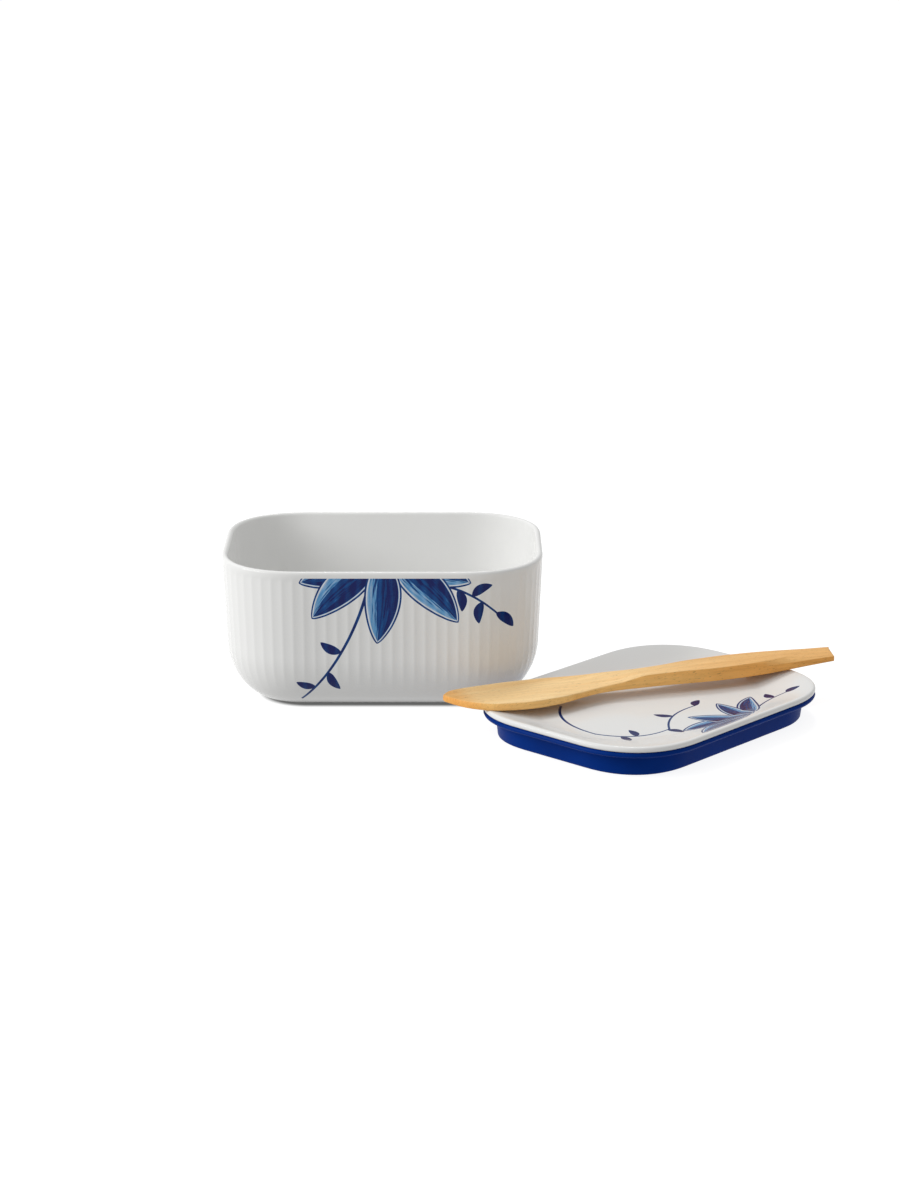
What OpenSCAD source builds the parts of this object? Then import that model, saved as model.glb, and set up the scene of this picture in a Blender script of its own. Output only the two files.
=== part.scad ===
// Butter dish of glazed porcelain. Its lid is a shallow tray in a silicone seal, and lies on the
// table in front of the dish with a wooden butter knife across it.
// The origin is the centre of the dish's flat foot. X runs along the dish, Z is up.

/* [Dish] */
// Length of the dish at its rim
dish_l = 150; // [140:1:180]
// Depth of the dish from front to back at its rim
dish_d = 113.5; // [104:0.5:130]
// Height of the dish
dish_h = 69.5; // [60:0.5:85]
// Radius of the dish's four corners, seen from above
corner_r = 36; // [32:1:42]
// Thickness of the wall at its round rim
rim_t = 2.8; // [2.2:0.1:3.6]
// Thickness of the wall low down
wall_t = 3.8; // [3:0.1:5]
// Thickness of the floor
floor_t = 4; // [3:0.1:6]
// How far the wall leans in on its way down
lean = 1.8; // [0:0.1:4]
// Height of the rounding between wall and foot
foot_round_h = 28.5; // [22:0.5:34]
// Width of the rounding between wall and foot
foot_round_w = 25; // [18:1:28]

/* [Lid] */
// How much smaller the lid is than the dish's rim, on every side
lid_inset = 1; // [0.5:0.1:1.5]
// Height of the porcelain edge above the seal
lip_h = 2.6; // [2:0.1:4]
// Depth of the tray below its lip
tray_h = 4.2; // [3:0.1:5]
// Width of the slope between the lip and the tray's floor
slope_w = 16; // [12:1:20]
// Height of the foot ring that sits inside the seal
ring_h = 9.8; // [8:0.1:12]
// Thickness of the foot ring
ring_t = 3.4; // [2.5:0.1:5]

/* [Seal] */
// Thickness of the flange between lid and rim
flange_t = 2.4; // [1.8:0.1:3]
// Height of the whole seal
seal_h = 12.3; // [11:0.1:15]
// How far the skirt stands in from the edge of the flange
skirt_inset = 5.6; // [4.8:0.1:7]
// Thickness of the skirt
skirt_t = 2.6; // [2:0.1:3]

/* [Knife] */
// Length of the knife
knife_l = 192; // [170:1:210]
// Greatest width of the blade
blade_w = 32; // [24:1:36]
// Thickness of the handle
handle_t = 6.2; // [5:0.1:8]

/* [Layout] */
// Where the lid's centre lies to the right of the dish's centre
lid_x = 123.5; // [123.5:0.5:150]
// Where the lid's centre lies from the dish's centre, front is negative
lid_y = -66.5; // [-90:0.5:-66.5]
// How far the lid is turned on the table
lid_turn = 47.5; // [44:0.5:52]
// How far the knife is turned from the dish's long side
knife_turn = 20; // [15:1:25]

/* [Hidden] */
$fn = 96;

gap = 0.1;              // loose pieces rest this far apart
steps = 10;             // points on a quarter of a rounding
draft_t = 1.2;          // the skirt narrows this much towards its end
corner_fill = 5;        // the dish is a little thicker where its wall meets its floor
hook_t = 2;             // the seal's inner hook, under the foot ring
hook_w = 2.2;
plate_t = 3.2;          // floor of the tray
tray_round = 2.4;       // exponent of the tray floor's outline, between an oval and a box
edge_r = 1.2;           // rounding of the porcelain's edges
fine = 0.01;

lid_l = dish_l - 2 * lid_inset;
lid_d = dish_d - 2 * lid_inset;
lid_r = corner_r - lid_inset;
plate_z = seal_h + gap;                // underside of the porcelain edge
ring_inset = skirt_inset + draft_t + skirt_t - 0.2;
tray_z = lip_h - tray_h;               // floor of the tray, from the underside of the edge
knife_z = plate_z + lip_h + gap;

// Points along a quarter or half of an ellipse
function bow(x, y, rx, ry, from, to) =
    [for (i = [0 : steps]) let (a = from + (to - from) * i / steps) [x + rx * cos(a), y + ry * sin(a)]];

// Outline between an oval and a box
function soft_box(half_l, half_d, power) =
    [for (a = [0 : 5 : 355]) [half_l * sign(cos(a)) * pow(abs(cos(a)), 2 / power),
                              half_d * sign(sin(a)) * pow(abs(sin(a)), 2 / power)]];

// Carries a section round a box with round corners. The section's X is 0 at the outline and
// negative inside it, its Y is the height.
module around(l, d, r) {
    for (turn = [0 : 3]) {
        out = turn % 2 == 0 ? l / 2 : d / 2;
        run = turn % 2 == 0 ? d - 2 * r : l - 2 * r;
        rotate(90 * turn) {
            translate([out, run / 2, 0]) rotate([90, 0, 0]) linear_extrude(run) children();
            translate([out - r, run / 2, 0]) rotate_extrude(angle = 90) translate([r, 0]) children();
        }
    }
}

// Fills the middle of a floor, between the corners' centres
module middle(l, d, r, low, high) {
    translate([r - l / 2, r - d / 2, low]) cube([l - 2 * r, d - 2 * r, high - low]);
}

module round_box(l, d, r) {
    for (x = [r - l / 2, l / 2 - r], y = [r - d / 2, d / 2 - r]) translate([x, y]) circle(r);
    square([l - 2 * r, d], center = true);
    square([l, d - 2 * r], center = true);
}

module at_lid() {
    translate([lid_x, lid_y, 0]) rotate(lid_turn) children();
}

// Porcelain box: one wall all round, a flat foot and a smooth floor
module dish() {
    low_x = -lean - wall_t;
    in_w = foot_round_w - corner_fill;
    in_h = foot_round_h - corner_fill / 2;
    color("whitesmoke") {
        around(dish_l, dish_d, corner_r) polygon(concat(
            [[-corner_r, floor_t], [-corner_r, 0]],
            bow(-lean - foot_round_w, foot_round_h, foot_round_w, foot_round_h, -90, 0),
            bow(-rim_t / 2, dish_h - rim_t / 2, rim_t / 2, rim_t / 2, 0, 180),
            bow(low_x - in_w, floor_t + in_h, in_w, in_h, 0, -90)));
        middle(dish_l, dish_d, corner_r, 0, floor_t);
    }
}

// Silicone ring: a flange under the porcelain, a skirt for the dish's mouth, a hook inside
module lid_seal() {
    top_x = -skirt_inset;
    end_x = top_x - draft_t;
    inner_x = -ring_inset + gap;
    end_r = 1.2;
    color("royalblue") at_lid()
        around(lid_l, lid_d, lid_r) polygon(concat(
            bow(-flange_t / 2, seal_h - flange_t / 2, flange_t / 2, flange_t / 2, -90, 90),
            [[inner_x, seal_h], [inner_x, hook_t], [inner_x - hook_w, hook_t], [inner_x - hook_w, 0]],
            bow(end_x - end_r, end_r, end_r, end_r, -90, 0),
            [[top_x, seal_h - flange_t]]));
}

// Porcelain tray: a low lip, a slope down to a floor with soft corners, and a foot ring below
module lid_plate() {
    under = tray_z - plate_t;
    color("white") at_lid() translate([0, 0, plate_z]) difference() {
        union() {
            around(lid_l, lid_d, lid_r) polygon(concat(
                [[-lid_r, lip_h - fine], [-lid_r, under], [-ring_inset - ring_t, under]],
                [[-ring_inset - ring_t, -ring_h], [-ring_inset, -ring_h], [-ring_inset, 0]],
                bow(-edge_r, edge_r, edge_r, edge_r, -90, 0),
                bow(-edge_r, lip_h - edge_r, edge_r, edge_r, 0, 90)));
            middle(lid_l, lid_d, lid_r, under, lip_h - fine);
        }
        hull() {
            translate([0, 0, lip_h]) linear_extrude(fine)
                round_box(lid_l - 4 * edge_r, lid_d - 4 * edge_r, lid_r - 2 * edge_r, $fn = 64);
            translate([0, 0, tray_z]) linear_extrude(fine)
                polygon(soft_box(lid_l / 2 - slope_w, lid_d / 2 - slope_w, tray_round));
        }
    }
}

// Sections of the knife: place along the length, far edge and near edge in blade widths,
// underside and top in handle thicknesses, and how far the top's near edge leans back, in widths
KNIFE = [
    [0.000, 0.01, -0.06, 0.00, 0.48, 0.01], [0.016, 0.11, -0.28, 0.00, 0.50, 0.02],
    [0.042, 0.16, -0.50, 0.00, 0.52, 0.02], [0.078, 0.19, -0.66, 0.00, 0.54, 0.02],
    [0.130, 0.21, -0.76, 0.00, 0.56, 0.02], [0.198, 0.22, -0.78, 0.00, 0.57, 0.02],
    [0.260, 0.20, -0.70, 0.00, 0.59, 0.02], [0.312, 0.14, -0.58, 0.00, 0.64, 0.02],
    [0.365, 0.07, -0.46, 0.00, 0.74, 0.02], [0.417, 0.01, -0.42, 0.00, 0.86, 0.02],
    [0.479, -0.03, -0.42, 0.00, 0.93, 0.02], [0.547, -0.02, -0.43, 0.00, 0.97, 0.02],
    [0.615, 0.04, -0.46, 0.00, 1.00, 0.02], [0.677, 0.08, -0.48, 0.00, 1.00, 0.02],
    [0.740, 0.10, -0.47, 0.00, 1.00, 0.03], [0.807, 0.09, -0.44, 0.02, 1.00, 0.05],
    [0.875, 0.06, -0.40, 0.10, 0.98, 0.11], [0.938, 0.02, -0.37, 0.20, 0.96, 0.21],
    [1.000, -0.02, -0.34, 0.28, 0.94, 0.26]];

// One section as six points: two below, one up each side and two above
function knife_ring(s) = let (
        x = s[0] * knife_l, far = s[1] * blade_w, near = s[2] * blade_w,
        low = s[3] * handle_t, top = s[4] * handle_t, back = near + s[5] * blade_w,
        mid = low + (top - low) * 0.6)
    [[x, near, low], [x, far, low], [x, far, mid], [x, far - 0.5, top], [x, back, top], [x, near, mid]];

// Knife of pale wood: a broad round blade, a narrow neck and a cut-off handle
module butter_knife() {
    rings = [for (s = KNIFE) knife_ring(s)];
    n = len(rings[0]);
    last = len(rings) - 1;
    points = [for (ring = rings) each ring];
    sides = [for (i = [0 : last - 1], j = [0 : n - 1])
        [i * n + j, i * n + (j + 1) % n, (i + 1) * n + (j + 1) % n, (i + 1) * n + j]];
    start = [for (j = [n - 1 : -1 : 0]) j];
    end = [for (j = [0 : n - 1]) last * n + j];
    tip = [lid_x - 95, lid_y - 11.5, knife_z];
    color("burlywood") translate(tip) rotate(knife_turn)
        polyhedron(points, concat([start], sides, [end]), convexity = 4);
}

dish();
lid_seal();
lid_plate();
butter_knife();
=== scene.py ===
import math

import bmesh
import bpy
import numpy as np
from mathutils import Matrix, Vector, noise


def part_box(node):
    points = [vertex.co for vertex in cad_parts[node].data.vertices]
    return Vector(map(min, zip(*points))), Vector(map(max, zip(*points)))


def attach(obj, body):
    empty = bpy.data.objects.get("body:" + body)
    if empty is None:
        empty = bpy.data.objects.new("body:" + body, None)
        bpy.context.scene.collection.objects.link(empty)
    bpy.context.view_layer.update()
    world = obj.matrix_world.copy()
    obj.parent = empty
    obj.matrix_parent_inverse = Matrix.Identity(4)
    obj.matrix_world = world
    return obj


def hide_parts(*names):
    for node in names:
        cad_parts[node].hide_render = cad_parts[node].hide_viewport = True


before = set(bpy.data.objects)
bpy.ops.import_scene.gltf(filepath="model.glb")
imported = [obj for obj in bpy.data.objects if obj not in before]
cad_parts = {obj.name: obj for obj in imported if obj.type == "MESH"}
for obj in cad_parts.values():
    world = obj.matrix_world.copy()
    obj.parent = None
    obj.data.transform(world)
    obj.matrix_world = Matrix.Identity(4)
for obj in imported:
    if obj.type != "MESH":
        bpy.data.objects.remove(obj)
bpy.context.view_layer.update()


# Dish. A deep box of glazed porcelain, slip-cast in one piece with shallow upright flutes on the
# outside and a smooth inside. It is painted by hand in cobalt blue under the clear glaze, and
# stands on a narrow foot that is left unglazed.
dish_low, dish_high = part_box("dish")
dish_length = dish_high.x - dish_low.x
dish_depth = dish_high.y - dish_low.y
dish_top = dish_high.z
dish_corner = 0.040
corner_power = 2.3
flute_count = 92
flute_points = 8
flute_depth = 0.00018
flutes_top = 0.0668
flutes_top_fade = 0.0022
flutes_foot = 0.008
flutes_foot_fade = 0.016
rim_radius = 0.0014
rim_thick = 2 * rim_radius
rim_middle = dish_top - rim_radius
wall_lean = 0.0018
round_width = 0.025
round_height = 0.0285
foot_inset = 0.0268
foot_width = 0.0022
foot_recess = 0.0009
floor_height = 0.004
floor_inset = 0.0256
inner_round_width = 0.020
inner_round_height = 0.026
inner_round_top = floor_height + inner_round_height


def soft_outline(length, depth, corner, count):
    """Evenly spaced points round a box with soft corners, and the way out at each point"""
    turn = np.linspace(0, math.pi / 2, 240)
    arc = np.stack([np.cos(turn), np.sin(turn)], 1) ** (2 / corner_power) * corner
    arc = arc + [length / 2 - corner, depth / 2 - corner]
    quarter = np.vstack([[length / 2, 0], arc, [0, depth / 2]])
    half = np.vstack([quarter, quarter[-2::-1] * [-1, 1]])
    loop = np.vstack([half, half[-2::-1] * [1, -1]])
    along = np.concatenate([[0], np.cumsum(np.hypot(*np.diff(loop, axis=0).T))])
    places = np.arange(count) / count * along[-1]
    points = np.stack([np.interp(places, along, loop[:, side]) for side in (0, 1)], 1)
    step = np.roll(points, -1, 0) - np.roll(points, 1, 0)
    out = np.stack([step[:, 1], -step[:, 0]], 1) / np.hypot(*step.T)[:, None]
    return points, out


def shell_of(rings, capped):
    """Extrudes a ring of edges through these rings of points, then closes the shell"""
    mesh = bmesh.new()
    number = mesh.verts.layers.int.new("number")
    circle = bmesh.ops.create_circle(mesh, segments=len(rings[0]), radius=1)["verts"]
    for index, vert in enumerate(circle):
        vert[number] = index
        vert.co = rings[0][index]
    first = list(mesh.edges)
    edges = first
    for points in rings[1:]:
        made = bmesh.ops.extrude_edge_only(mesh, edges=edges)["geom"]
        for vert in made:
            if isinstance(vert, bmesh.types.BMVert):
                vert.co = points[vert[number]]
        edges = [edge for edge in made if isinstance(edge, bmesh.types.BMEdge) and edge.is_boundary]
    if capped:
        bmesh.ops.contextual_create(mesh, geom=first)
        bmesh.ops.contextual_create(mesh, geom=edges)
    else:
        bmesh.ops.bridge_loops(mesh, edges=first + edges)
    return mesh


def level(points, height):
    return np.column_stack([points, np.full(len(points), height)])


def middle_rings(points, height, outwards):
    """Rings that fill the middle of a floor"""
    shares = (0.12, 0.35, 0.60, 0.85)
    return [level(points * share, height) for share in (shares if outwards else shares[::-1])]


def finished(mesh, name, body, node):
    """Makes the mesh a smooth object that rides on its body and stands for its node"""
    bmesh.ops.recalc_face_normals(mesh, faces=mesh.faces)
    for face in mesh.faces:
        face.smooth = True
    data = bpy.data.meshes.new(name)
    mesh.to_mesh(data)
    mesh.free()
    piece = bpy.data.objects.new(name, data)
    bpy.context.scene.collection.objects.link(piece)
    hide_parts(node)
    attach(piece, body)
    return piece


def ease(value):
    """Rises softly from 0 to 1"""
    value = min(max(value, 0), 1)
    return value * value * (3 - 2 * value)


dish_points, dish_out = soft_outline(dish_length, dish_depth, dish_corner, flute_count * flute_points)
across_flute = np.arange(len(dish_points)) % flute_points / flute_points * 2 - 1
flute_hollow = flute_depth * (1 - across_flute ** 2)
flute_pitch = np.hypot(*(dish_points[1] - dish_points[0])) * flute_points


def outer_ring(inset, height):
    """The dish's outline at this inset, hollowed where the flutes reach this height"""
    reach = ease((flutes_top - height) / flutes_top_fade)
    reach = reach * ease((height - flutes_foot) / flutes_foot_fade)
    return level(dish_points - dish_out * (inset + flute_hollow * reach)[:, None], height)


def inner_ring(inset, height):
    return level(dish_points - dish_out * inset, height)


foot_inside = foot_inset + foot_width
rings = middle_rings(dish_points - dish_out * (foot_inside + 0.0013), foot_recess, outwards=True)
rings += [inner_ring(foot_inside + 0.0010, foot_recess), inner_ring(foot_inside + 0.0005, 0.0003)]
rings += [inner_ring(foot_inside, 0)]
for step in range(19):
    angle = step / 18 * math.pi / 2
    inset = foot_inset - round_width * math.sin(angle)
    rings.append(outer_ring(inset, round_height * (1 - math.cos(angle))))
for height in (0.034, 0.042, 0.050, 0.058, 0.0625, 0.0645, 0.0652, 0.0659, 0.0666):
    inset = wall_lean * (rim_middle - height) / (rim_middle - round_height)
    rings.append(outer_ring(inset, height))
painted_rings = len(rings)
for step in range(13):
    angle = step / 12 * math.pi
    inset = rim_radius * (1 - math.cos(angle))
    rings.append(inner_ring(inset, dish_top - rim_radius * (1 - math.sin(angle))))
for height in (0.0645, 0.058, 0.048, 0.038):
    share = (rim_middle - height) / (rim_middle - inner_round_top)
    growth = floor_inset - inner_round_width - rim_thick
    rings.append(inner_ring(rim_thick + growth * share, height))
for step in range(15):
    angle = step / 14 * math.pi / 2
    inset = floor_inset - inner_round_width * math.cos(angle)
    rings.append(inner_ring(inset, inner_round_top - inner_round_height * math.sin(angle)))
rings += middle_rings(dish_points - dish_out * floor_inset, floor_height, outwards=False)
dish_mesh = shell_of(rings, capped=True)
dish = finished(dish_mesh, "porcelain_dish", "dish", "dish")


def node(tree, kind, sockets=None, **settings):
    """Adds a shader node; sockets are named or numbered inputs, each a value or another output"""
    made = tree.nodes.new("ShaderNode" + kind)
    for name, value in settings.items():
        setattr(made, name, value)
    for name, value in (sockets or {}).items():
        if isinstance(value, bpy.types.NodeSocket):
            tree.links.new(value, made.inputs[name])
        else:
            made.inputs[name].default_value = value
    return made


def maths(tree, operation, *values, clamp=False):
    sockets = dict(enumerate(values))
    return node(tree, "Math", sockets, operation=operation, use_clamp=clamp).outputs[0]


def between(tree, value, low, high, start=0.0, end=1.0):
    """Runs softly from start to end as value goes from low to high"""
    sockets = {"Value": value, "From Min": low, "From Max": high, "To Min": start, "To Max": end}
    return node(tree, "MapRange", sockets, interpolation_type="SMOOTHSTEP").outputs[0]


def cloud(tree, place, scale, detail=3.0, roughness=0.5):
    sockets = {"Vector": place, "Scale": scale, "Detail": detail, "Roughness": roughness}
    return node(tree, "TexNoise", sockets).outputs["Fac"]


def new_group(name, inputs, outputs):
    group = bpy.data.node_groups.new(name, "ShaderNodeTree")
    for label in inputs:
        kind = "NodeSocketVector" if label in ("Place", "Start") else "NodeSocketFloat"
        group.interface.new_socket(name=label, in_out="INPUT", socket_type=kind)
    for label in outputs:
        group.interface.new_socket(name=label, in_out="OUTPUT", socket_type="NodeSocketFloat")
    return group, group.nodes.new("NodeGroupInput").outputs, group.nodes.new("NodeGroupOutput").inputs


# A brush mark is a bent strip that comes to a point at both ends, or runs on at one width.
MARK = ["Place", "Start", "Turn", "Length", "Width", "Bow", "Leafy"]
mark_group, given, result = new_group("brush mark", MARK, ["Inside", "Along", "Across"])
tree = mark_group
moved = node(tree, "VectorMath", {0: given["Place"], 1: given["Start"]}, operation="SUBTRACT")
back = maths(tree, "MULTIPLY", given["Turn"], -1)
turned = node(tree, "VectorRotate", {"Vector": moved.outputs[0], "Angle": back}, rotation_type="Z_AXIS")
flat = node(tree, "SeparateXYZ", {0: turned.outputs[0]})
along = maths(tree, "DIVIDE", flat.outputs["X"], given["Length"])
held = maths(tree, "ADD", along, 0, clamp=True)
hump = maths(tree, "MULTIPLY", maths(tree, "MULTIPLY", held, maths(tree, "SUBTRACT", 1, held)), 4)
bend = maths(tree, "MULTIPLY", maths(tree, "MULTIPLY", hump, given["Bow"]), given["Length"])
off = maths(tree, "SUBTRACT", flat.outputs["Y"], bend)
past = maths(tree, "MULTIPLY", maths(tree, "SUBTRACT", along, held), given["Length"])
far = maths(tree, "SQRT", maths(tree, "MULTIPLY_ADD", off, off, maths(tree, "MULTIPLY", past, past)))
taper = maths(tree, "MULTIPLY_ADD", held, -0.35, 1.12)
belly = maths(tree, "MULTIPLY", maths(tree, "POWER", hump, 0.72), taper)
strip = maths(tree, "MULTIPLY_ADD", held, -0.35, 1.1)
form = node(tree, "Mix", {0: given["Leafy"], 2: strip, 3: belly}).outputs[0]
half = maths(tree, "MULTIPLY", maths(tree, "MULTIPLY", form, given["Width"]), 0.5)
tree.links.new(maths(tree, "SUBTRACT", half, far), result["Inside"])
tree.links.new(held, result["Along"])
tree.links.new(maths(tree, "DIVIDE", off, maths(tree, "MAXIMUM", half, 0.01)), result["Across"])

# A painted leaf has a pale wash, a darker half laid on in streaks, a vein and an outline.
leaf_group, given, result = new_group("painted leaf", ["Ink"] + MARK[:6], ["Ink"])
tree = leaf_group
mark = node(tree, "Group", node_tree=mark_group)
for label in MARK[:6]:
    tree.links.new(given[label], mark.inputs[label])
mark.inputs["Leafy"].default_value = 1
inside, along, across = (mark.outputs[label] for label in ("Inside", "Along", "Across"))
lengthwise = maths(tree, "MULTIPLY", along, 1.6)
crosswise = maths(tree, "MULTIPLY", across, 4.5)
strokes = node(tree, "CombineXYZ", {0: lengthwise, 1: crosswise})
streak = cloud(tree, strokes.outputs[0], 2.2, 2.0)
streak = maths(tree, "SUBTRACT", streak, 0.5)
laid = maths(tree, "MULTIPLY_ADD", streak, 1.7, across)
laid = maths(tree, "MULTIPLY_ADD", along, -0.45, laid)
dark = between(tree, laid, -0.75, -0.45)
body = node(tree, "Mix", {0: dark, 2: 0.30, 3: 0.74}).outputs[0]
body = maths(tree, "MULTIPLY_ADD", streak, 0.40, body)
body = maths(tree, "MULTIPLY_ADD", between(tree, laid, -0.30, 0.25), 0.26, body)
vein = between(tree, maths(tree, "ABSOLUTE", across), 0.08, 0.02)
gap = between(tree, inside, 1.75, 1.25)
body = node(tree, "Mix", {0: gap, 2: body, 3: 0.04}).outputs[0]
edge = between(tree, inside, 0.95, 0.70)
body = node(tree, "Mix", {0: edge, 2: body, 3: 0.86}).outputs[0]
body = node(tree, "Mix", {0: vein, 2: body, 3: 1.0}).outputs[0]
cover = between(tree, inside, -0.06, 0.10)
tree.links.new(node(tree, "Mix", {0: cover, 2: given["Ink"], 3: body}).outputs[0], result["Ink"])


def paint_leaf(tree, ink, place, x, y, turn, length, width, bow):
    leaf = node(tree, "Group", node_tree=leaf_group)
    tree.links.new(place, leaf.inputs["Place"])
    if isinstance(ink, bpy.types.NodeSocket):
        tree.links.new(ink, leaf.inputs["Ink"])
    leaf.inputs["Start"].default_value = (x, y, 0)
    for label, value in zip(MARK[2:6], (math.radians(turn), length, width, bow)):
        leaf.inputs[label].default_value = value
    return leaf.outputs["Ink"]


def paint_stem(tree, ink, place, x, y, turn, length, width, bow, leafy=0.0, depth=0.88):
    stem = node(tree, "Group", node_tree=mark_group)
    tree.links.new(place, stem.inputs["Place"])
    stem.inputs["Start"].default_value = (x, y, 0)
    for label, value in zip(MARK[2:], (math.radians(turn), length, width, bow, leafy)):
        stem.inputs[label].default_value = value
    cover = between(tree, stem.outputs["Inside"], -0.08, 0.10, 0, depth)
    return maths(tree, "MAXIMUM", ink, cover)


def porcelain(name, paint):
    """White glazed porcelain; paint adds its own nodes and gives how much cobalt lies where"""
    material = bpy.data.materials.new(name)
    material.use_nodes = True
    tree = material.node_tree
    shader = tree.nodes["Principled BSDF"]
    place = node(tree, "TexCoord").outputs["Object"]
    tone = cloud(tree, place, 26.0, 2.0)
    ripple = cloud(tree, place, 240.0, 2.0)
    height = node(tree, "SeparateXYZ", {0: place}).outputs["Z"]
    ink = paint(tree, place)
    wash = cloud(tree, place, 900.0, 4.0, 0.65)
    ink = maths(tree, "MULTIPLY", ink, maths(tree, "MULTIPLY_ADD", wash, 0.30, 0.85), clamp=True)
    ramp = node(tree, "ValToRGB", {0: ink})
    stops = ramp.color_ramp.elements
    stops[0].color = (0.82, 0.82, 0.81, 1)
    stops[1].color = (0.0001, 0.0070, 0.105, 1)
    for position, colour in ((0.30, (0.12, 0.34, 0.62, 1)), (0.62, (0.0005, 0.070, 0.260, 1))):
        stops.new(position).color = colour
    warm = node(tree, "Mix", {0: tone, 6: (0.97, 0.97, 0.965, 1), 7: (1, 1, 1, 1)}, data_type="RGBA")
    colour = node(tree, "Mix", {0: 1.0, 6: ramp.outputs[0], 7: warm.outputs[2]}, data_type="RGBA")
    colour.blend_type = "MULTIPLY"
    bare = between(tree, height, 0.00030, 0.00008)
    clay = (0.62, 0.58, 0.52, 1)
    whole = node(tree, "Mix", {0: bare, 6: colour.outputs[2], 7: clay}, data_type="RGBA")
    tree.links.new(whole.outputs[2], shader.inputs["Base Color"])
    gloss = maths(tree, "MULTIPLY_ADD", ripple, 0.10, 0.13)
    rough = node(tree, "Mix", {0: bare, 2: gloss, 3: 0.75}).outputs[0]
    tree.links.new(rough, shader.inputs["Roughness"])
    shader.inputs["IOR"].default_value = 1.5
    shader.inputs["Specular IOR Level"].default_value = 0.12
    shader.inputs["Coat Weight"].default_value = 0.11
    shader.inputs["Coat Roughness"].default_value = 0.04
    bump = node(tree, "Bump", {"Height": ripple, "Strength": 0.35, "Distance": 0.00004})
    tree.links.new(bump.outputs[0], shader.inputs["Normal"])
    return material


def paint_dish(tree, place):
    """A fan of leaves hangs from the rim, with a long stem to the left and a leafy sprig"""
    flat = node(tree, "SeparateXYZ", {0: place})
    across = maths(tree, "MULTIPLY", flat.outputs["X"], 1000)
    up = maths(tree, "MULTIPLY", flat.outputs["Z"], 1000)
    place = node(tree, "CombineXYZ", {0: across, 1: up}).outputs[0]
    ink = 0.0
    for stem in ((-5, 66, -118, 68, 1.35, 0.07), (12, 64, -20, 44, 1.2, 0.12)):
        ink = paint_stem(tree, ink, place, *stem)
    for leaf in ((0, 71, 190, 38, 17, -0.05), (10, 71, -12, 32, 15, 0.05), (-2, 74, 222, 40, 18, -0.05),
                 (6, 74, -44, 41, 18, 0.05), (1, 76, 266, 41, 18, 0.03)):
        ink = paint_leaf(tree, ink, place, *leaf)
    for small_leaf in ((35.3, 61.1, -80, 10.5, 4.6, 0.10), (41.7, 58.1, 28, 10.5, 4.6, 0.10),
                       (46.3, 55.2, -98, 10.5, 4.6, -0.10), (52.9, 49.4, -45, 11.0, 4.8, 0.08),
                       (-18.6, 30.8, 152, 10.5, 4.6, 0.08), (-24.4, 21.0, -60, 10.5, 4.4, -0.08),
                       (-30.6, 13.3, 165, 9.0, 4.0, 0.08)):
        ink = paint_stem(tree, ink, place, *small_leaf, leafy=1.0, depth=1.0)
    # The cobalt's depth changes a little across each flute.
    wave = maths(tree, "MULTIPLY", flat.outputs["X"], 2 * math.pi / flute_pitch)
    thin = maths(tree, "MULTIPLY_ADD", maths(tree, "COSINE", wave), -0.10, 0.98)
    ink = maths(tree, "MULTIPLY", ink, thin)
    front = between(tree, flat.outputs["Y"], -0.020, -0.030)
    below_lip = between(tree, up, 67.3, 67.0)
    return maths(tree, "MULTIPLY", maths(tree, "MULTIPLY", ink, front), below_lip)


def paint_nothing(tree, place):
    return 0.0


dish.data.materials.append(porcelain("painted porcelain", paint_dish))
dish.data.materials.append(porcelain("plain porcelain", paint_nothing))
painted_faces = (painted_rings - 1) * len(dish_points)
for face in dish.data.polygons:
    if face.index >= painted_faces:
        face.material_index = 1


# Seal. A ring of blue silicone, moulded in one piece. Its flange lies between lid and rim, its
# skirt plugs the dish's mouth, and a hook inside holds it on the lid's foot ring.
lid_low, lid_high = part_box("lid_plate")
lid_centre = (lid_low + lid_high) / 2
lid_turn = math.radians(47.5)
lid_length = dish_length - 0.002
lid_depth = dish_depth - 0.002
seal_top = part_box("lid_seal")[1].z
flange_thick = 0.0024
flange_round = 0.0012
flange_middle = 0.0013
mould_line = 0.00010
neck_inset = 0.0040
neck_round = 0.0017
skirt_middle = 0.0078
skirt_round = 0.0013
lid_points, lid_out = soft_outline(lid_length, lid_depth, dish_corner - 0.001, 360)


def lid_ring(inset, height):
    return level(lid_points - lid_out * inset, height)


def put_on_table(mesh):
    """Turns the lid or its seal, and moves it to its place beside the dish"""
    bmesh.ops.rotate(mesh, verts=mesh.verts, matrix=Matrix.Rotation(lid_turn, 3, "Z"))
    bmesh.ops.translate(mesh, verts=mesh.verts, vec=(lid_centre.x, lid_centre.y, 0))


rings = [lid_ring(0.0091, seal_top - 0.0002), lid_ring(0.0090, seal_top), lid_ring(0.0050, seal_top)]
for step in range(17):
    angle = math.pi / 2 - step / 16 * math.pi
    proud = mould_line if step == 8 else 0
    inset = flange_middle - (flange_round + proud) * math.cos(angle)
    rings.append(lid_ring(inset, seal_top - flange_round * (1 - math.sin(angle))))
for step in range(6):
    angle = step / 5 * math.pi / 2
    height = seal_top - flange_thick - neck_round * (1 - math.cos(angle))
    rings.append(lid_ring(neck_inset + neck_round * math.sin(angle), height))
rings += [lid_ring(0.0059, 0.0060), lid_ring(0.0063, 0.0030)]
for step in range(6):
    angle = step / 5 * math.pi / 2
    inset = skirt_middle - skirt_round * math.cos(angle)
    rings.append(lid_ring(inset, skirt_round * (1 - math.sin(angle))))
rings += [lid_ring(0.0107, 0), lid_ring(0.0111, 0.0002), lid_ring(0.0113, 0.0006)]
rings += [lid_ring(0.0113, 0.0015), lid_ring(0.0110, 0.0019), lid_ring(0.0106, 0.0020)]
rings += [lid_ring(0.0096, 0.0020), lid_ring(0.0092, 0.0022), lid_ring(0.0091, 0.0027)]
seal_mesh = shell_of(rings, capped=False)
put_on_table(seal_mesh)
seal = finished(seal_mesh, "silicone_seal", "seal", "lid_seal")

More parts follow.
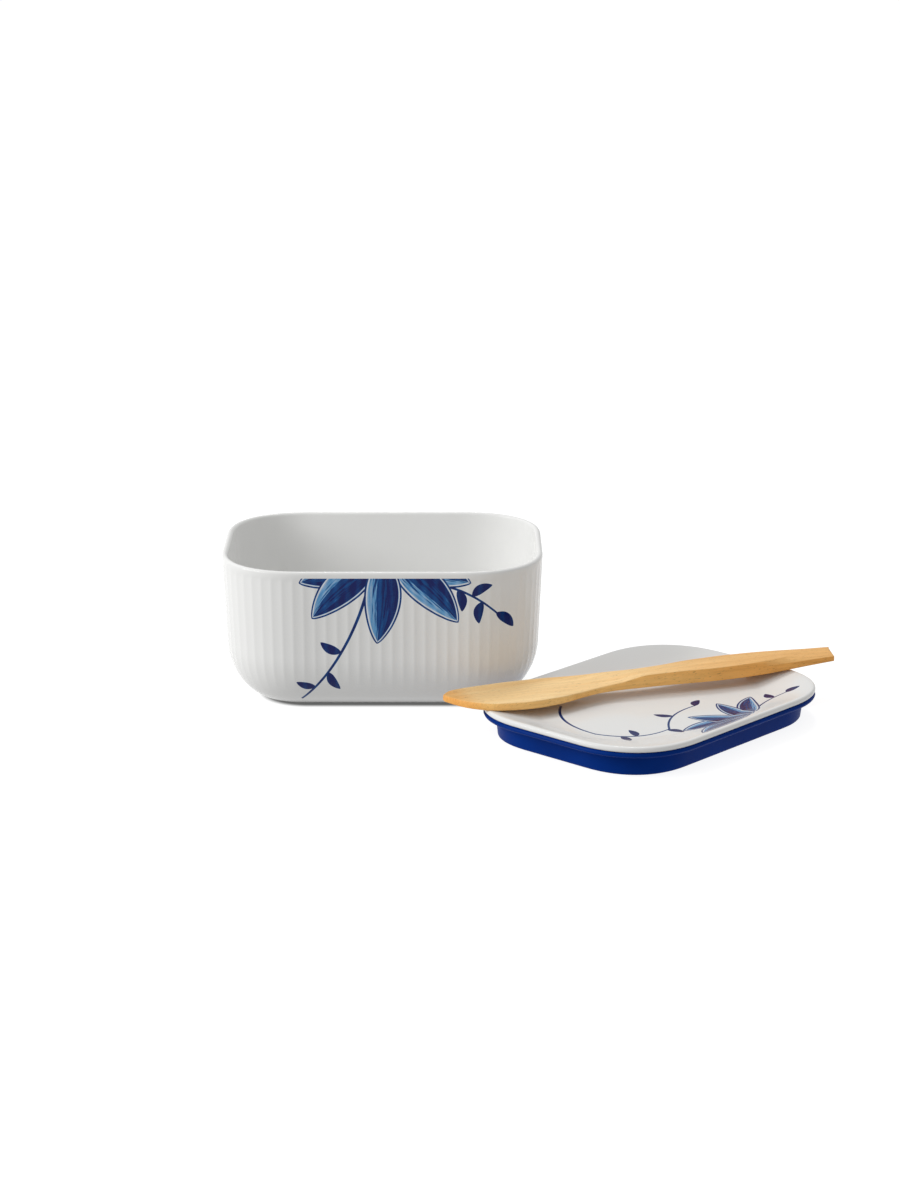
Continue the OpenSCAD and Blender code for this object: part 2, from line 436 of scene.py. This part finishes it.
silicone = bpy.data.materials.new("blue silicone")
silicone.use_nodes = True
tree = silicone.node_tree
shader = tree.nodes["Principled BSDF"]
place = node(tree, "TexCoord").outputs["Object"]
haze = cloud(tree, place, 60.0, 3.0)
grain = cloud(tree, place, 2600.0, 2.0)
deep_blue = (0.0001, 0.018, 0.150, 1)
pale_blue = (0.0001, 0.033, 0.245, 1)
blue = node(tree, "Mix", {0: haze, 6: deep_blue, 7: pale_blue}, data_type="RGBA")
tree.links.new(blue.outputs[2], shader.inputs["Base Color"])
tree.links.new(maths(tree, "MULTIPLY_ADD", haze, 0.16, 0.33), shader.inputs["Roughness"])
shader.inputs["IOR"].default_value = 1.41
shader.inputs["Specular IOR Level"].default_value = 0.05
bump = node(tree, "Bump", {"Height": grain, "Strength": 0.4, "Distance": 0.00002})
tree.links.new(bump.outputs[0], shader.inputs["Normal"])
seal.data.materials.append(silicone)


# Lid. A shallow tray of the same porcelain with a low round lip. The foot ring below it is
# pressed into the seal. Closed, it covers the dish; here it lies beside it on its seal.
plate_top = lid_high.z
plate_edge = plate_top - 0.0026
plate_under = plate_edge - 0.0048
ring_end = lid_low.z
ring_fillet = 0.0015
edge_round = 0.0012
lip_width = 0.0015
tray_depth = 0.0042
tray_floor = plate_top - tray_depth
tray_half_length = 0.058
tray_half_depth = 0.03975
tray_power = 2.4
slope_steps = 24
round_way = np.arctan2(lid_points[:, 1], lid_points[:, 0])
tray_reach = np.abs(np.cos(round_way) / tray_half_length) ** tray_power
tray_reach = tray_reach + np.abs(np.sin(round_way) / tray_half_depth) ** tray_power
tray_reach = tray_reach ** (-1 / tray_power)
tray_points = np.stack([np.cos(round_way), np.sin(round_way)], 1) * tray_reach[:, None]
rings = middle_rings(lid_points - lid_out * 0.0155, plate_under, outwards=True)
for step in range(5):
    angle = step / 4 * math.pi / 2
    height = plate_under - ring_fillet * (1 - math.cos(angle))
    rings.append(lid_ring(0.0141 - ring_fillet * math.sin(angle), height))
rings += [lid_ring(0.0126, ring_end + 0.0006), lid_ring(0.0124, ring_end + 0.0002)]
rings += [lid_ring(0.0120, ring_end), lid_ring(0.0098, ring_end)]
rings += [lid_ring(0.0094, ring_end + 0.0002), lid_ring(0.0092, ring_end + 0.0006)]
rings += [lid_ring(0.0092, plate_edge - 0.0003), lid_ring(0.0089, plate_edge)]
for step in range(7):
    angle = step / 6 * math.pi / 2
    inset = edge_round * (1 - math.sin(angle))
    rings.append(lid_ring(inset, plate_edge + edge_round * (1 - math.cos(angle))))
for step in range(9):
    angle = step / 8 * math.pi / 2
    inset = edge_round * (1 - math.cos(angle))
    rings.append(lid_ring(inset, plate_top - edge_round * (1 - math.sin(angle))))
lip_points = lid_points - lid_out * lip_width
for step in range(1, slope_steps + 1):
    share = step / slope_steps
    rise = (1 - share) * 0.75 + (1 - ease(share)) * 0.25
    slope_points = lip_points + (tray_points - lip_points) * share
    rings.append(level(slope_points, tray_floor + tray_depth * rise))
rings += middle_rings(tray_points, tray_floor, outwards=False)
lid_mesh = shell_of(rings, capped=True)
put_on_table(lid_mesh)
lid = finished(lid_mesh, "porcelain_lid", "lid", "lid_plate")


def paint_lid(tree, place):
    """A leafy sprig grows in from the tray's long edge, and a thin stem crosses the tray"""
    sockets = {"Vector": place, "Location": (lid_centre.x, lid_centre.y, 0)}
    sockets["Rotation"] = (0, 0, lid_turn)
    sockets["Scale"] = (0.001, 0.001, 0.001)
    place = node(tree, "Mapping", sockets, vector_type="TEXTURE").outputs[0]
    height = node(tree, "SeparateXYZ", {0: place}).outputs["Z"]
    ink = 0.0
    for stem in ((-33, 26, -118, 42, 1.3, -0.14), (-52.7, -11.1, -35, 34, 1.1, -0.20),
                 (-24.9, -30.6, 20, 36, 1.0, 0.12), (16, -48, 12, 34, 1.0, 0.12)):
        ink = paint_stem(tree, ink, place, *stem)
    for leaf in ((10, -49, 184, 38, 12, -0.08), (14, -48, 40, 30, 11, 0.06),
                 (11, -49, 160, 36, 12, -0.06), (13, -49, 78, 26, 11, 0.05),
                 (12, -50, 128, 30, 12, 0.03)):
        ink = paint_leaf(tree, ink, place, *leaf)
    for small_leaf in ((-47.6, -21.6, 245, 9, 4.0, 0.08), (-42.7, -26.4, 62, 9, 4.0, -0.08),
                       (-26.5, -30.9, -70, 8, 4.0, 0.08), (-9.5, -20.5, 118, 9, 4.2, 0.08),
                       (8.9, -18.3, 25, 9, 4.2, 0.08), (40.3, -39.7, 64, 8.5, 4.0, 0.08),
                       (48.4, -40.8, -6, 9, 4.2, 0.08)):
        ink = paint_stem(tree, ink, place, *small_leaf, leafy=1.0, depth=1.0)
    top_side = between(tree, height, plate_edge * 1000 - 2.2, plate_edge * 1000 - 1.9)
    return maths(tree, "MULTIPLY", ink, top_side)


lid.data.materials.append(porcelain("painted lid porcelain", paint_lid))


# Knife. A spreader carved from one piece of pale beech and oiled: a broad rounded blade, a narrow
# neck and a handle with a slanting side facet and an end cut a little aslant.
knife_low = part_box("butter_knife")[0]
knife_turn = math.radians(20)
knife_length = 0.192
knife_width = 0.032
handle_thick = 0.0062
neck_facet = 0.0020
end_slant = 0.0020
edge_softness = 0.00035
knife_sections = 96
knife_tip = Vector((lid_centre.x - 0.095, lid_centre.y - 0.0115, knife_low.z))
# Place along the length, far and near edge in widths, underside and top in thicknesses, slant.
knife_shape = np.array([
    (0.000, 0.01, -0.06, 0.00, 0.48, 0.01), (0.016, 0.11, -0.28, 0.00, 0.50, 0.02),
    (0.042, 0.16, -0.50, 0.00, 0.52, 0.02), (0.078, 0.19, -0.66, 0.00, 0.54, 0.02),
    (0.130, 0.21, -0.76, 0.00, 0.56, 0.02), (0.198, 0.22, -0.78, 0.00, 0.57, 0.02),
    (0.260, 0.20, -0.70, 0.00, 0.59, 0.02), (0.312, 0.14, -0.58, 0.00, 0.64, 0.02),
    (0.365, 0.07, -0.46, 0.00, 0.74, 0.02), (0.417, 0.01, -0.42, 0.00, 0.86, 0.02),
    (0.479, -0.03, -0.42, 0.00, 0.93, 0.02), (0.547, -0.02, -0.43, 0.00, 0.97, 0.02),
    (0.615, 0.04, -0.46, 0.00, 1.00, 0.02), (0.677, 0.08, -0.48, 0.00, 1.00, 0.02),
    (0.740, 0.10, -0.47, 0.00, 1.00, 0.03), (0.807, 0.09, -0.44, 0.02, 1.00, 0.05),
    (0.875, 0.06, -0.40, 0.10, 0.98, 0.11), (0.938, 0.02, -0.37, 0.20, 0.96, 0.21),
    (1.000, -0.02, -0.34, 0.28, 0.94, 0.26)])
knife_slopes = np.gradient(knife_shape, knife_shape[:, 0], axis=0)


def knife_section(place):
    """Six points round the knife at this share of its length"""
    stop = np.searchsorted(knife_shape[:, 0], place, "right") - 1
    stop = int(np.clip(stop, 0, len(knife_shape) - 2))
    before, after = knife_shape[stop], knife_shape[stop + 1]
    gap = after[0] - before[0]
    share = (place - before[0]) / gap
    row = before * (2 * share ** 3 - 3 * share ** 2 + 1)
    row = row + knife_slopes[stop] * gap * (share ** 3 - 2 * share ** 2 + share)
    row = row + after * (3 * share ** 2 - 2 * share ** 3)
    row = row + knife_slopes[stop + 1] * gap * (share ** 3 - share ** 2)
    x = place * knife_length
    far, near = row[1] * knife_width, row[2] * knife_width
    low, top = row[3] * handle_thick, row[4] * handle_thick
    near_top = top - ease((place - 0.20) / 0.20) * (1 - ease((place - 0.42) / 0.08)) * neck_facet
    chip = 0.00022 * noise.noise((x * 600, near * 300, 1)) * ease(1.3 - place * 3.2)
    near += chip + 0.00010 * noise.noise((x * 90, 3, 1))
    top += 0.00009 * noise.noise((x * 70, 7, 1))
    back = near + row[5] * knife_width
    slant = ease((place - 0.93) / 0.07) * end_slant
    return np.array([(x, near, low), (x + slant, far, low), (x + slant, far, low + (top - low) * 0.6),
                     (x + slant, far - 0.0005, top), (x + slant * 0.3, back, near_top),
                     (x, near, low + (near_top - low) * 0.6)])


rings = [knife_section(step / knife_sections) for step in range(knife_sections + 1)]
knife_mesh = shell_of(rings, capped=True)
number = knife_mesh.verts.layers.int["number"]
bmesh.ops.recalc_face_normals(knife_mesh, faces=knife_mesh.faces)
long_edges = [edge for edge in knife_mesh.edges if edge.calc_face_angle(0) > 0.6
              and edge.verts[0][number] == edge.verts[1][number]]
end_edges = [edge for edge in knife_mesh.edges if edge.verts[0][number] != edge.verts[1][number]
             and (edge.verts[0].co.x > knife_length - 0.0001 or edge.verts[0].co.x < 0.0001)]
bmesh.ops.bevel(knife_mesh, geom=long_edges + end_edges, offset=edge_softness, offset_type="OFFSET",
                segments=3, profile=0.5, affect="EDGES", material=-1, clamp_overlap=True)
bmesh.ops.rotate(knife_mesh, verts=knife_mesh.verts, matrix=Matrix.Rotation(knife_turn, 3, "Z"))
bmesh.ops.translate(knife_mesh, verts=knife_mesh.verts, vec=knife_tip)
knife = finished(knife_mesh, "wooden_knife", "knife", "butter_knife")

wood = bpy.data.materials.new("oiled beech")
wood.use_nodes = True
tree = wood.node_tree
shader = tree.nodes["Principled BSDF"]
place = node(tree, "TexCoord").outputs["Object"]
sockets = {"Vector": place, "Location": knife_tip, "Rotation": (0, 0, knife_turn + 0.03)}
lengthwise = node(tree, "Mapping", sockets, vector_type="TEXTURE").outputs[0]
broad = node(tree, "Mapping", {"Vector": lengthwise, "Scale": (9, 150, 110)}).outputs[0]
fine = node(tree, "Mapping", {"Vector": lengthwise, "Scale": (45, 1500, 900)}).outputs[0]
pores = node(tree, "Mapping", {"Vector": lengthwise, "Scale": (420, 3400, 2600)}).outputs[0]
figure = cloud(tree, broad, 1.0, 3.0, 0.55)
fibres = cloud(tree, fine, 1.0, 3.0, 0.6)
flecks = cloud(tree, pores, 1.0, 1.0)
ramp = node(tree, "ValToRGB", {0: figure})
stops = ramp.color_ramp.elements
stops[0].position = 0.28
stops[0].color = (0.92, 0.550, 0.205, 1)
stops[1].position = 0.72
stops[1].color = (1.0, 0.718, 0.360, 1)
# Painted shade: the sides are painted a deeper, darker tone than the top, by how far they turn from
# facing up. The ends are darker.
normal = node(tree, "NewGeometry").outputs["Normal"]
facing = node(tree, "SeparateXYZ", {0: normal}).outputs["Z"]
lit_top_share = between(tree, facing, 0.35, 0.85)
deep = node(tree, "Mix", {0: 1.0, 6: ramp.outputs[0], 7: (1, 0.84, 0.58, 1)}, data_type="RGBA")
deep.blend_type = "MULTIPLY"
# Painted shade: the lit top tone where the wood faces up, the shaded side tone elsewhere.
lit_top_shaded_sides = node(tree, "Mix", {0: lit_top_share, 6: deep.outputs[2], 7: ramp.outputs[0]}, data_type="RGBA")
shade = between(tree, fibres, 0.25, 0.75, 0.88, 1.04)
fleck = between(tree, flecks, 0.63, 0.73, 1.0, 0.64)
end_way = (math.cos(knife_turn), math.sin(knife_turn), 0)
endwise = node(tree, "VectorMath", {0: normal, 1: end_way}, operation="DOT_PRODUCT").outputs["Value"]
end_grain = between(tree, endwise, 0.55, 0.85, 1.0, 0.80)
tone = maths(tree, "MULTIPLY", maths(tree, "MULTIPLY", shade, fleck), end_grain)
# The handle and the tip of the blade are tinted a warmer, darker brown.
along_knife = node(tree, "SeparateXYZ", {0: lengthwise}).outputs["X"]
handle_part = between(tree, along_knife, 0.060, 0.160)
tip_part = between(tree, along_knife, 0.014, 0.003)
tinted_part = maths(tree, "MAXIMUM", handle_part, tip_part)
warm_tint = node(tree, "Mix", {0: tinted_part, 6: (1, 1, 1, 1), 7: (0.93, 0.77, 0.57, 1)}, data_type="RGBA")
tinted_wood = node(tree, "Mix", {0: 1.0, 6: lit_top_shaded_sides.outputs[2], 7: warm_tint.outputs[2]}, data_type="RGBA")
tinted_wood.blend_type = "MULTIPLY"
colour = node(tree, "VectorMath", {0: tinted_wood.outputs[2], "Scale": tone}, operation="SCALE")
tree.links.new(colour.outputs[0], shader.inputs["Base Color"])
tree.links.new(between(tree, fibres, 0.2, 0.8, 0.62, 0.48), shader.inputs["Roughness"])
shader.inputs["Specular IOR Level"].default_value = 0.25
bump = node(tree, "Bump", {"Height": tone, "Strength": 0.5, "Distance": 0.00008})
tree.links.new(bump.outputs[0], shader.inputs["Normal"])
knife.data.materials.append(wood)


# Table and light. A wide white table that glows a little under a white dome, a soft lamp from the
# left, a smaller one from behind and a pale room light. The camera looks down from the front.
table_reach = 9
backdrop_radius = 8
table_glow = 0.87
table_mesh = bmesh.new()
bmesh.ops.create_grid(table_mesh, x_segments=1, y_segments=1, size=table_reach)
bmesh.ops.translate(table_mesh, verts=table_mesh.verts, vec=(0, 0, -0.0001))
table_data = bpy.data.meshes.new("table")
table_mesh.to_mesh(table_data)
table_mesh.free()
table = bpy.data.objects.new("table", table_data)
bpy.context.scene.collection.objects.link(table)
table_paint = bpy.data.materials.new("white table")
table_paint.use_nodes = True
tree = table_paint.node_tree
shader = tree.nodes["Principled BSDF"]
shader.inputs["Base Color"].default_value = (0.30, 0.30, 0.30, 1)
shader.inputs["Roughness"].default_value = 0.9
shader.inputs["Specular IOR Level"].default_value = 0
shader.inputs["Emission Color"].default_value = (1, 1, 1, 1)
# Painted shadow: the table's glow is left out close round the dish's foot, so a dark contact shadow is
# painted there under the dish.
place = node(tree, "TexCoord").outputs["Object"]
from_middle = node(tree, "VectorMath", {0: place}, operation="ABSOLUTE").outputs[0]
flat = node(tree, "SeparateXYZ", {0: from_middle})
past_x = maths(tree, "SUBTRACT", flat.outputs["X"], dish_length / 2 - dish_corner)
past_x = maths(tree, "MAXIMUM", past_x, 0)
past_y = maths(tree, "SUBTRACT", flat.outputs["Y"], dish_depth / 2 - dish_corner)
past_y = maths(tree, "MAXIMUM", past_y, 0)
reach = maths(tree, "MULTIPLY_ADD", past_x, past_x, maths(tree, "MULTIPLY", past_y, past_y))
reach = maths(tree, "SQRT", reach)
glow = between(tree, reach, dish_corner - 0.0205, dish_corner - 0.0152, 0.0, table_glow)
tree.links.new(glow, shader.inputs["Emission Strength"])
table_paint.cycles.emission_sampling = "NONE"
table.visible_diffuse = False
table.data.materials.append(table_paint)

backdrop_mesh = bmesh.new()
bmesh.ops.create_uvsphere(backdrop_mesh, u_segments=64, v_segments=32, radius=backdrop_radius)
bmesh.ops.reverse_faces(backdrop_mesh, faces=backdrop_mesh.faces)
backdrop_data = bpy.data.meshes.new("backdrop")
backdrop_mesh.to_mesh(backdrop_data)
backdrop_mesh.free()
backdrop = bpy.data.objects.new("backdrop", backdrop_data)
bpy.context.scene.collection.objects.link(backdrop)
backdrop.visible_diffuse = False
backdrop.visible_glossy = False
backdrop.visible_transmission = False
backdrop.visible_shadow = False
backdrop_paint = bpy.data.materials.new("white backdrop")
backdrop_paint.use_nodes = True
shader = backdrop_paint.node_tree.nodes["Principled BSDF"]
shader.inputs["Base Color"].default_value = (0, 0, 0, 1)
shader.inputs["Specular IOR Level"].default_value = 0
shader.inputs["Emission Color"].default_value = (1, 1, 1, 1)
shader.inputs["Emission Strength"].default_value = 1
backdrop_paint.cycles.emission_sampling = "NONE"
backdrop_data.materials.append(backdrop_paint)

world = bpy.data.worlds.new("pale room")
bpy.context.scene.world = world
world.use_nodes = True
world.node_tree.nodes["Background"].inputs["Color"].default_value = (1, 1, 1, 1)
world.node_tree.nodes["Background"].inputs["Strength"].default_value = 0.52


def lamp(name, place, aim, size, power):
    light = bpy.data.lights.new(name, "AREA")
    light.shape = "RECTANGLE"
    light.size = size
    light.size_y = size
    light.energy = power
    made = bpy.data.objects.new(name, light)
    made.location = place
    made.rotation_euler = (Vector(aim) - Vector(place)).to_track_quat("-Z", "Y").to_euler()
    bpy.context.scene.collection.objects.link(made)


lamp("key", (-1.40, -0.45, 0.78), (0.05, -0.02, 0.03), size=0.9, power=17.5)
lamp("back light", (0.12, 0.95, 1.55), (0.08, -0.04, 0.01), size=0.5, power=9)

camera_data = bpy.data.cameras.new("camera")
camera_data.lens = 90.1
camera_data.sensor_width = 36
camera = bpy.data.objects.new("camera", camera_data)
camera.location = (0.0316, -1.3751, 0.4328)
camera.rotation_euler = (math.radians(90 - 15.93), 0, 0)
bpy.context.scene.collection.objects.link(camera)
bpy.context.scene.camera = camera
bpy.context.scene.view_settings.view_transform = "Standard"
